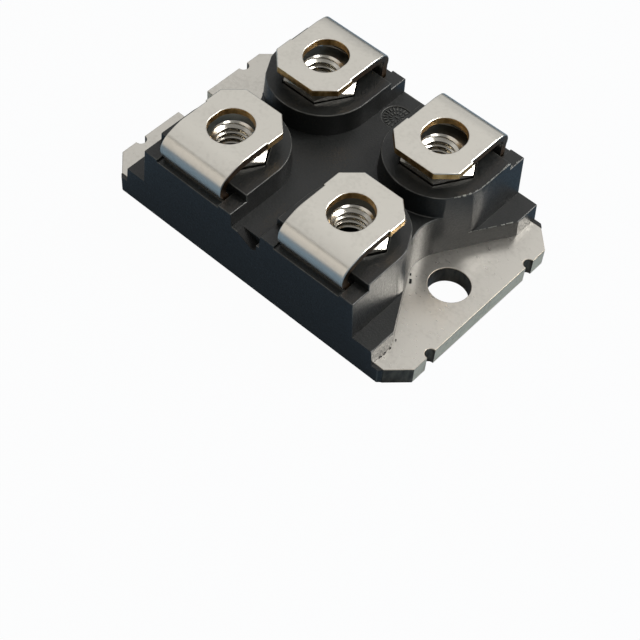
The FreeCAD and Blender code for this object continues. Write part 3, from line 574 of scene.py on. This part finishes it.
def add_vee_tools(side):
    """The round bottom and the two flanks of the V that clears a fixing hole, drafted."""
    base, top = PLATE_TOP - SUNK, PAD_TOP + SUNK
    base_radius = VEE_RADIUS - SUNK * VEE_SLOPE
    top_radius = VEE_RADIUS + (top - PLATE_TOP) * VEE_SLOPE
    bottom = add_rod(
        "vee_round", (FIXING_X * side, 0), base, top, base_radius, top_radius, sides=VEE_FACETS)
    # A block whose corners then go to where the flanks leave the round and where they open
    flanks = add_block("vee_flanks", (-1, -1, base), (1, 1, top))
    for vertex in flanks.data.vertices:
        low = vertex.co.z < (base + top) / 2 * MM
        radius = base_radius if low else top_radius
        out_x = FIXING_X - radius * math.sin(VEE_ANGLE)
        out_y = radius * math.cos(VEE_ANGLE)
        if vertex.co.x > 0:
            out_y += (VEE_MOUTH - out_x) * math.tan(VEE_ANGLE)
            out_x = VEE_MOUTH
        vertex.co.x = out_x * MM
        vertex.co.y = math.copysign(out_y, vertex.co.y) * MM
    if side < 0:
        for vertex in flanks.data.vertices:
            vertex.co.x = -vertex.co.x
        flanks.data.flip_normals()
    return [bottom, flanks]


def add_pad_tools(side_x, side_y):
    """One U-shaped pad: a drafted round and a drafted block out to the long side."""
    middle = (TERMINAL_X * side_x, NUT_Y * side_y)
    base = FOOT_TOP - SUNK
    foot_radius = PAD_RADIUS + (PAD_TOP - FOOT_TOP) * END_SLOPE
    base_radius = foot_radius + SUNK * END_SLOPE
    rounds = add_rod(
        "pad_round", middle, base, PAD_TOP, base_radius, PAD_RADIUS, sides=PAD_FACETS)
    low_y, high_y = sorted((NUT_Y * side_y, (MOULDING_SIDE + PAST) * side_y))
    flank = add_block(
        "pad_flank", (middle[0] - PAD_RADIUS, low_y, base),
        (middle[0] + PAD_RADIUS, high_y, PAD_TOP))
    grown = base_radius / PAD_RADIUS
    for vertex in flank.data.vertices:
        if vertex.co.z < FOOT_TOP * MM:
            vertex.co.x = (middle[0] + (vertex.co.x / MM - middle[0]) * grown) * MM
    return [rounds, flank]


def add_housing_body():
    """The feet, the skirt, the valley block and the pads as one form, with leaning long sides."""
    reach = MOULDING_SIDE + PAST
    foot_drop = (FOOT_TOP - PLATE_TOP) * END_SLOPE
    housing = add_block(
        "moulded_housing", (-FOOT_END, -reach, PLATE_TOP), (FOOT_END, reach, FOOT_TOP))
    start_edit(housing, "FACE", lambda place, normal: normal.z > FACING)
    bpy.ops.transform.resize(value=((FOOT_END - foot_drop) / FOOT_END, 1, 1))
    end_edit()
    joined = [
        add_block("skirt", (-SKIRT_END, -reach, SKIRT_LIFT), (SKIRT_END, reach, PLATE_TOP)),
        add_block(
            "valley_block", (-BLOCK_END, -reach, FOOT_TOP - SUNK), (BLOCK_END, reach, VALLEY_TOP)),
    ]
    for side_x, side_y in QUARTERS:
        joined += add_pad_tools(side_x, side_y)
    combine(housing, joined, "UNION")
    for side in SIDES:
        start_edit(housing, "FACE", everything)
        trim((0, SKIRT_SIDE * side * MM, 0), (0, side, -SIDE_LEAN), keep_inner=True)
        end_edit()
    return housing


def add_housing_cuts():
    """Tools for the plate's room, the ledges, the Vs, the nuts' pockets and wells, and the slots."""
    cuts = [add_block(
        "plate_room", (-END_OUT, -PLATE_SIDE, -PAST), (END_OUT, PLATE_SIDE, PLATE_TOP))]
    for side in SIDES:
        low_y, high_y = sorted((PAD_REACH * side, SIDE_OUT * side))
        cuts.append(add_block(
            "ledge", (-END_OUT, low_y, LEDGE_TOP), (END_OUT, high_y, TOP_OUT)))
        cuts += add_vee_tools(side)
    for side_x, side_y in QUARTERS:
        middle = (TERMINAL_X * side_x, NUT_Y * side_y)
        low_y, high_y = sorted((PAD_REACH * side_y, SIDE_OUT * side_y))
        corner = (NUT_FLATS + NUT_GAP) / math.cos(math.pi / 6)
        cuts.append(add_rod(
            "pocket", middle, NUT_BASE, TOP_OUT, corner, sides=6, turn=math.pi / 6))
        cuts.append(add_rod(
            "well", middle, WELL_FLOOR, WELL_OPENING, WELL_RADIUS, sides=WELL_FACETS))
        cuts.append(add_block(
            "terminal_slot", (middle[0] - SLOT_HALF_WIDTH, low_y, LEDGE_TOP - SLOT_DEPTH),
            (middle[0] + SLOT_HALF_WIDTH, high_y, TOP_OUT)))
    cuts.append(add_rod(
        "mark", (0, MARK_Y), VALLEY_TOP - MARK_DEPTH, TOP_OUT, MARK_RADIUS, sides=WELL_FACETS))
    cuts.append(add_gate_scar())
    return cuts


def add_gate_scar():
    """The bite left in the near long side where the gate was broken off."""
    outline = [
        (SCAR_LEFT, VALLEY_TOP), (SCAR_LOW_X, SCAR_LOW), (SCAR_RIGHT, SCAR_LIP),
        (SCAR_RIGHT, SCAR_OPEN), (SCAR_LEFT, SCAR_OPEN)]
    near, out = SCAR_DEPTH - SKIRT_SIDE, -(MOULDING_SIDE + PAST)
    count = len(outline)
    points = [(x * MM, y * MM, z * MM) for y in (out, near) for x, z in outline]
    faces = [list(range(count)), [count + i for i in reversed(range(count))]]
    faces += [[i, count + i, count + (i + 1) % count, (i + 1) % count] for i in range(count)]
    mesh = bpy.data.meshes.new("gate_scar")
    mesh.from_pydata(points, [], faces)
    tool = add_object("gate_scar", mesh)
    start_edit(tool, "FACE", everything)
    bpy.ops.mesh.normals_make_consistent(inside=False)
    end_edit()
    return tool


def make_housing():
    """The moulding, with a painted highlight on its rounded edges in the second material and the
    gate's scar in the third.
    """
    housing = add_housing_body()
    combine(housing, add_housing_cuts(), "DIFFERENCE")
    start_edit(
        housing, "EDGE",
        lambda middle, along: abs(along.z) > UPRIGHT and abs(middle.x) > SKIRT_END - ON_WALL
        and abs(middle.y) > PLATE_SIDE + PLATE_CLEAR)
    bpy.ops.mesh.bevel(offset=SKIRT_CORNER * MM, segments=1, affect="EDGES")
    end_edit()
    paint(housing, MOULDING, MOULDING_HIGHLIGHT)
    round_edges(
        housing, HOUSING_ROUND, HOUSING_MERGE, limit=HOUSING_EDGE_ANGLE, seat=PLATE_TOP,
        edge_material=1)
    housing.data.materials.append(SCAR_FACE)
    for face in housing.data.polygons:
        place = face.center / MM
        if (SCAR_LEFT <= place.x <= SCAR_RIGHT
                and -MOULDING_SIDE <= place.y < ON_WALL - MOULDING_SIDE + SCAR_DEPTH
                and SCAR_LOW < place.z < VALLEY_TOP - ON_FACE and face.normal.y > -NEAR_SIDE):
            face.material_index = 2
    finish_piece(housing, "moulding", "housing")


def make_mark_ticks():
    """Raised plain ticks inside the round moulded mark, as rings of short bars."""
    ticks = []
    floor = VALLEY_TOP - MARK_DEPTH
    for count, inner, outer, width in MARK_RINGS:
        for number in range(count):
            angle = 2 * math.pi * number / count
            tick = add_block(
                "tick", (inner, -width / 2, floor - MARK_SUNK),
                (outer, width / 2, floor + MARK_RAISE))
            for vertex in tick.data.vertices:
                x, y = vertex.co.x, vertex.co.y
                vertex.co.x = x * math.cos(angle) - y * math.sin(angle)
                vertex.co.y = x * math.sin(angle) + y * math.cos(angle) + MARK_Y * MM
            ticks.append(tick)
    # The ticks take the pale grey of the painted edge highlight
    join_pieces(ticks, "round_mark_ticks", MOULDING_HIGHLIGHT)


def make_crumbs(name, places, seat, material):
    """Small torn bits of moulding flash that stuck where they are. Some thin black ones are painted
    shadow, and the pale ones carry a painted highlight.
    """
    draw = random.Random(CRUMB_SEED)
    jitter_x, jitter_y, jitter_z = CRUMB_JITTER
    crumbs = []
    for x, y, length, width, turn in places:
        height = draw.uniform(CRUMB_LOW, CRUMB_HIGH)
        crumb = add_block(
            "crumb", (-length / 2, -width / 2, -CRUMB_SUNK), (length / 2, width / 2, height))
        start_edit(crumb, "FACE", everything)
        bpy.ops.mesh.subdivide(number_cuts=2)
        end_edit()
        for vertex in crumb.data.vertices:
            px = vertex.co.x / MM + draw.uniform(-jitter_x, jitter_x)
            py = vertex.co.y / MM + draw.uniform(-jitter_y, jitter_y)
            proud = vertex.co.z > CRUMB_RAISED * MM
            pz = vertex.co.z / MM + (draw.uniform(-jitter_z, jitter_z) if proud else 0)
            vertex.co = Vector((
                x + px * math.cos(turn) - py * math.sin(turn),
                y + px * math.sin(turn) + py * math.cos(turn), seat + pz)) * MM
        crumbs.append(crumb)
    join_pieces(crumbs, name, material)


# Hexagon nut with a real thread

def make_tap(base, top):
    """A closed threaded plug round the Z axis, to cut the nut's thread with."""
    mesh = bpy.data.meshes.new("tap")
    crest, root, half = THREAD_CREST * MM, THREAD_ROOT * MM, THREAD_PITCH / 2 * MM
    flat = THREAD_PITCH / 8 * MM
    start = (base - 2 * THREAD_PITCH) * MM
    profile = [
        (crest, 0, start), (crest, 0, start + flat), (root, 0, start + half - flat / 2),
        (root, 0, start + half + flat / 2), (crest, 0, start + 2 * half)]
    mesh.from_pydata(profile, [(i, i + 1) for i in range(len(profile) - 1)], [])
    tap = add_object("tap", mesh)
    winding = tap.modifiers.new("thread", "SCREW")
    winding.axis = "Z"
    winding.screw_offset = THREAD_PITCH * MM
    winding.iterations = int((top - base) / THREAD_PITCH) + SPARE_TURNS
    winding.steps = THREAD_FACETS
    winding.render_steps = THREAD_FACETS
    winding.use_merge_vertices = True
    winding.merge_threshold = THREAD_JOIN * MM
    apply_all(tap)
    start_edit(tap, "VERT", everything)
    bpy.ops.mesh.remove_doubles(threshold=THREAD_JOIN * MM)
    trim((0, 0, base * MM), (0, 0, 1), keep_inner=False)
    bpy.ops.mesh.select_all(action="SELECT")
    trim((0, 0, top * MM), (0, 0, 1), keep_inner=True)
    bpy.ops.mesh.select_all(action="SELECT")
    bpy.ops.mesh.normals_make_consistent(inside=False)
    end_edit()
    return tap


def make_nut():
    """Hexagon nut round the origin's axis, chamfered and countersunk on both faces."""
    corner = NUT_FLATS / math.cos(math.pi / 6)
    nut = add_rod("nut", (0, 0), NUT_BASE, NUT_TOP, corner, sides=6, turn=math.pi / 6)
    middle = (NUT_BASE + NUT_TOP) / 2
    wide = NUT_CROWN + (NUT_TOP - middle) / NUT_CROWN_SLOPE
    upper = add_rod(
        "crown", (0, 0), middle - CROWN_OVERLAP, NUT_TOP, wide, NUT_CROWN, sides=PAD_FACETS)
    lower = add_rod(
        "crown_below", (0, 0), NUT_BASE, middle + CROWN_OVERLAP, NUT_CROWN, wide,
        sides=PAD_FACETS)
    combine(upper, [lower], "UNION")
    combine(nut, [upper], "INTERSECT")
    sink = NUT_COUNTERSINK - THREAD_CREST
    mouth, throat = NUT_COUNTERSINK + SINK_PAST, NUT_COUNTERSINK - sink
    tools = [
        add_rod("sink_top", (0, 0), NUT_TOP - sink, NUT_TOP + SINK_PAST, throat, mouth),
        add_rod("sink_below", (0, 0), NUT_BASE - SINK_PAST, NUT_BASE + sink, mouth, throat),
        make_tap(NUT_BASE - SUNK, NUT_TOP + SUNK),
    ]
    combine(nut, tools, "DIFFERENCE")
    take(nut)
    bpy.ops.object.shade_smooth_by_angle(angle=math.radians(NUT_SMOOTH_ANGLE))
    return nut


# Folded terminals

def bend_steps(sag_start, sag_angle, sag_run, fold_radius):
    """The strip's centre line from the tab to the foot, as (radius, angle) or (0, length) steps.

    The bend under the fold turns back by just what brings the leg to its place.
    """
    sag = math.radians(sag_angle)
    quarter = math.pi / 2
    bulge = (sag_start + SAG_RADIUS * math.sin(sag) + sag_run * math.cos(sag)
             + fold_radius * (1 - math.sin(sag)))
    reach = fold_radius + RETURN_RADIUS
    back = math.acos(1 - (bulge - LEG_Y) / reach)
    drop = (SAG_RADIUS * (1 - math.cos(sag)) + sag_run * math.sin(sag)
            + fold_radius * math.cos(sag) + reach * math.sin(back))
    centre_z = TAB_TOP - STRIP_THICK / 2
    foot_z = FOOT_BASE + STRIP_THICK / 2
    leg = centre_z - drop - foot_z - FOOT_RADIUS
    return [
        (SAG_RADIUS, -sag), (0, sag_run), (fold_radius, -(quarter - sag + back)),
        (RETURN_RADIUS, back), (0, leg), (FOOT_RADIUS, -quarter),
        (0, LEG_Y - FOOT_RADIUS - FOOT_Y)]


def sweep_end(steps, start_y, start_z):
    """Extrude and spin the strip's selected end face along the steps, in edit mode."""
    y, z, heading = start_y, start_z, 0.0
    for radius, amount in steps:
        if radius == 0:
            move = (0, amount * math.cos(heading) * MM, amount * math.sin(heading) * MM)
            bpy.ops.mesh.extrude_region_move(TRANSFORM_OT_translate={"value": move})
            y += move[1] / MM
            z += move[2] / MM
            continue
        side = math.copysign(1, amount)
        middle_y = y - side * radius * math.sin(heading)
        middle_z = z + side * radius * math.cos(heading)
        # The sag is so gentle that coarse facets keep its lines clear of the oval hole's rim
        facet = SAG_FACET if radius == SAG_RADIUS else BEND_FACET
        facets = max(FEWEST_FACETS, round(abs(amount) * (radius + STRIP_THICK / 2) / facet))
        bpy.ops.mesh.spin(
            steps=facets, angle=-amount, center=(0, middle_y * MM, middle_z * MM),
            axis=(1, 0, 0))
        heading += amount
        y = middle_y + side * radius * math.sin(heading)
        z = middle_z - side * radius * math.cos(heading)


def make_strip(sag_start, sag_angle, sag_run, fold_radius):
    """One strip folded along its centre line, towards +Y, with its cut sides square."""
    strip = add_block(
        "strip", (-TAB_HALF, TAB_END, TAB_TOP - STRIP_THICK), (TAB_HALF, sag_start, TAB_TOP))
    start_edit(strip, "FACE", lambda place, normal: normal.y > FACING)
    sweep_end(
        bend_steps(sag_start, sag_angle, sag_run, fold_radius), sag_start,
        TAB_TOP - STRIP_THICK / 2)
    bpy.ops.mesh.select_all(action="SELECT")
    bpy.ops.mesh.remove_doubles(threshold=BEND_JOIN * MM)
    bpy.ops.mesh.normals_make_consistent(inside=False)
    end_edit()

    start_edit(
        strip, "EDGE",
        lambda middle, along: abs(along.z) > UPRIGHT and middle.y < TAB_END + ON_FACE)
    bpy.ops.mesh.bevel(offset=TAB_CORNER * MM, segments=1, affect="EDGES")
    end_edit()

    hole = add_rod("hole", (0, HOLE_Y), TAB_TOP - 2 * PAST, TAB_TOP + PAST, HOLE_RADIUS)
    for vertex in hole.data.vertices:
        vertex.co.y += math.copysign(HOLE_RUN * MM, vertex.co.y - HOLE_Y * MM)
    tools = [hole]
    for side in SIDES:
        low, high = sorted((STRIP_HALF * side, STRIP_OUT * side))
        tools.append(add_block(
            "shoulder", (low, TAB_SHOULDER, 0), (high, SIDE_OUT, STRIP_ABOVE)))
        low, high = sorted((NECK_HALF * side, STRIP_OUT * side))
        tools.append(add_block("neck", (low, 0, 0), (high, SIDE_OUT, NECK_TOP)))
    combine(strip, tools, "DIFFERENCE")
    round_edges(strip, STRIP_ROUND, STRIP_MERGE)
    return strip


def mark_cut_edges(terminal):
    """Give the tab's sheared sides and hole the second material, and the sides below the tab, on the
    fold and leg, the third: painted shade under the tab.
    """
    for face in terminal.data.polygons:
        place = face.center / MM
        on_hole = (abs(place.y) < FLAT_TAB_END and abs(face.normal.z) < HOLE_STEEP
                   and place.z > TAB_TOP - HOLE_DEPTH)
        sheared = abs(face.normal.x) > SIDEWAYS or on_hole
        face.material_index = int(sheared) * (1 if place.z > TAB_TOP - TAB_DEPTH else 2)


def make_terminals():
    """The four folded terminals and the nuts under them, from one nut and two strips."""
    nut = make_nut()
    near_strip = make_strip(*NEAR_FOLD)
    far_strip = make_strip(*FAR_FOLD)
    for name, side_x, side_y in TERMINALS:
        strip = near_strip if side_y < 0 else far_strip
        place_x = TERMINAL_X * side_x
        terminal = copy_piece(strip, f"{name}_folded_terminal", side_x, side_y, (place_x, 0, 0))
        paint(terminal, TAB_NICKEL, TAB_EDGE, TAB_LEG_SHADE)
        mark_cut_edges(terminal)
        finish_piece(terminal, "terminal_nickel", f"{name}_terminal")
        threaded = copy_piece(nut, f"{name}_threaded_nut", 1, 1, (place_x, NUT_Y * side_y, 0))
        paint(threaded, NUT_NICKEL)
        finish_piece(threaded, "nut_plating", f"{name}_nut")
    for piece in (nut, near_strip, far_strip):
        bpy.data.objects.remove(piece)


def finish_sealed_pieces():
    """Sealed pieces keep their CAD shape and take their own finishes."""
    for name, node in nodes.items():
        if name in ("base_plate", "housing") or name.endswith(("_terminal", "_nut")):
            continue
        for index, held in enumerate(node.data.materials):
            for start, finish in SEALED_FINISHES.items():
                if held and held.name.startswith(start):
                    node.data.materials[index] = finish


# Floor, light and camera

def make_floor():
    """A plain pale floor that looks white and keeps the soft shadow.

    The camera sees it almost as plain white. Gloss sees mostly the paper below, so that the
    object's low sides stay as dark as they are.
    """
    deselect_all()
    bpy.ops.mesh.primitive_plane_add(size=FLOOR_SIZE)
    floor = settle("floor")
    material = bpy.data.materials.new("white_paper_floor")
    tree = empty_tree(material)
    paper = add_node(tree, "ShaderNodeBsdfDiffuse", {"Color": linear(FLOOR_PAPER)})
    glow = add_node(tree, "ShaderNodeEmission", {"Strength": 1.0})
    path = add_node(tree, "ShaderNodeLightPath")
    seen = add_node(
        tree, "ShaderNodeMath", {"operation": "MULTIPLY", 1: WHITE_TO_CAMERA},
        {0: path.outputs["Is Camera Ray"]})
    mirrored = add_node(
        tree, "ShaderNodeMath", {"operation": "MAXIMUM"},
        {0: path.outputs["Is Glossy Ray"], 1: path.outputs["Is Transmission Ray"]})
    share = add_node(
        tree, "ShaderNodeMath", {"operation": "MULTIPLY_ADD", 1: WHITE_TO_GLOSS},
        {0: mirrored.outputs[0], 2: seen.outputs[0]})
    mixed = add_node(tree, "ShaderNodeMixShader", links={
        0: share.outputs[0], 1: paper.outputs["BSDF"], 2: glow.outputs["Emission"]})
    add_node(tree, "ShaderNodeOutputMaterial", links={"Surface": mixed.outputs[0]})
    floor.data.materials.append(material)


def add_lamp(name, direction, distance, width, radiance, colour):
    """A square soft box that faces the object. Its power follows from how bright it looks."""
    lamp = bpy.data.lights.new(name, "AREA")
    lamp.shape = "SQUARE"
    lamp.size = width
    lamp.energy = radiance * math.pi * width * width
    lamp.color = linear(colour)[:3]
    holder = add_object(name, lamp)
    towards = Vector(direction).normalized()
    holder.location = towards * distance
    holder.rotation_euler = towards.to_track_quat("Z", "Y").to_euler()


def make_world():
    """A dim room that is cooler and darker low down, and plain white to the camera."""
    world = bpy.data.worlds.new("studio")
    bpy.context.scene.world = world
    tree = empty_tree(world)
    place = add_node(tree, "ShaderNodeTexCoord")
    parts = add_node(tree, "ShaderNodeSeparateXYZ", links={"Vector": place.outputs["Generated"]})
    rise = parts.outputs["Z"]
    room = add_node(tree, "ShaderNodeBackground", links={
        "Color": ramp(tree, rise, ROOM_COLOURS),
        "Strength": spread(tree, rise, ROOM_LOW, ROOM_HIGH, 0.0, ROOM_RISE)})
    white = add_node(tree, "ShaderNodeBackground", {"Color": (1, 1, 1, 1), "Strength": 1.0})
    path = add_node(tree, "ShaderNodeLightPath")
    mixed = add_node(tree, "ShaderNodeMixShader", links={
        0: path.outputs["Is Camera Ray"], 1: room.outputs[0], 2: white.outputs[0]})
    add_node(tree, "ShaderNodeOutputWorld", links={"Surface": mixed.outputs[0]})


def make_camera():
    """The photograph's own viewpoint."""
    data = bpy.data.cameras.new("photo_camera")
    camera = add_object("photo_camera", data)
    data.sensor_width = SENSOR_WIDTH
    data.lens = SENSOR_WIDTH * FOCAL_PIXELS / FRAME_PIXELS
    data.clip_start = CLIP_NEAR
    data.clip_end = CLIP_FAR
    camera.location = CAMERA_PLACE
    camera.rotation_euler = [math.radians(angle) for angle in CAMERA_TURN]
    bpy.context.scene.camera = camera


make_plate()
make_housing()
make_mark_ticks()
make_crumbs("flash_crumbs", CRUMBS_AND_SHADOW_DASHES, PLATE_TOP, CRUMB_AND_SHADOW_BLACK)
make_crumbs("frayed_pad_rim", PAD_FRAYS, PAD_TOP, HIGHLIT_FLASH)
make_crumbs("frayed_ledge_rim", LEDGE_FRAYS, LEDGE_TOP, HIGHLIT_FLASH)
make_crumbs("frayed_foot_rim", FOOT_FRAYS, FOOT_TOP, HIGHLIT_FLASH)
make_terminals()
finish_sealed_pieces()

make_floor()
for lamp_facts in LAMPS:
    add_lamp(*lamp_facts)
make_world()
make_camera()

scene = bpy.context.scene
scene.view_settings.view_transform = "Standard"
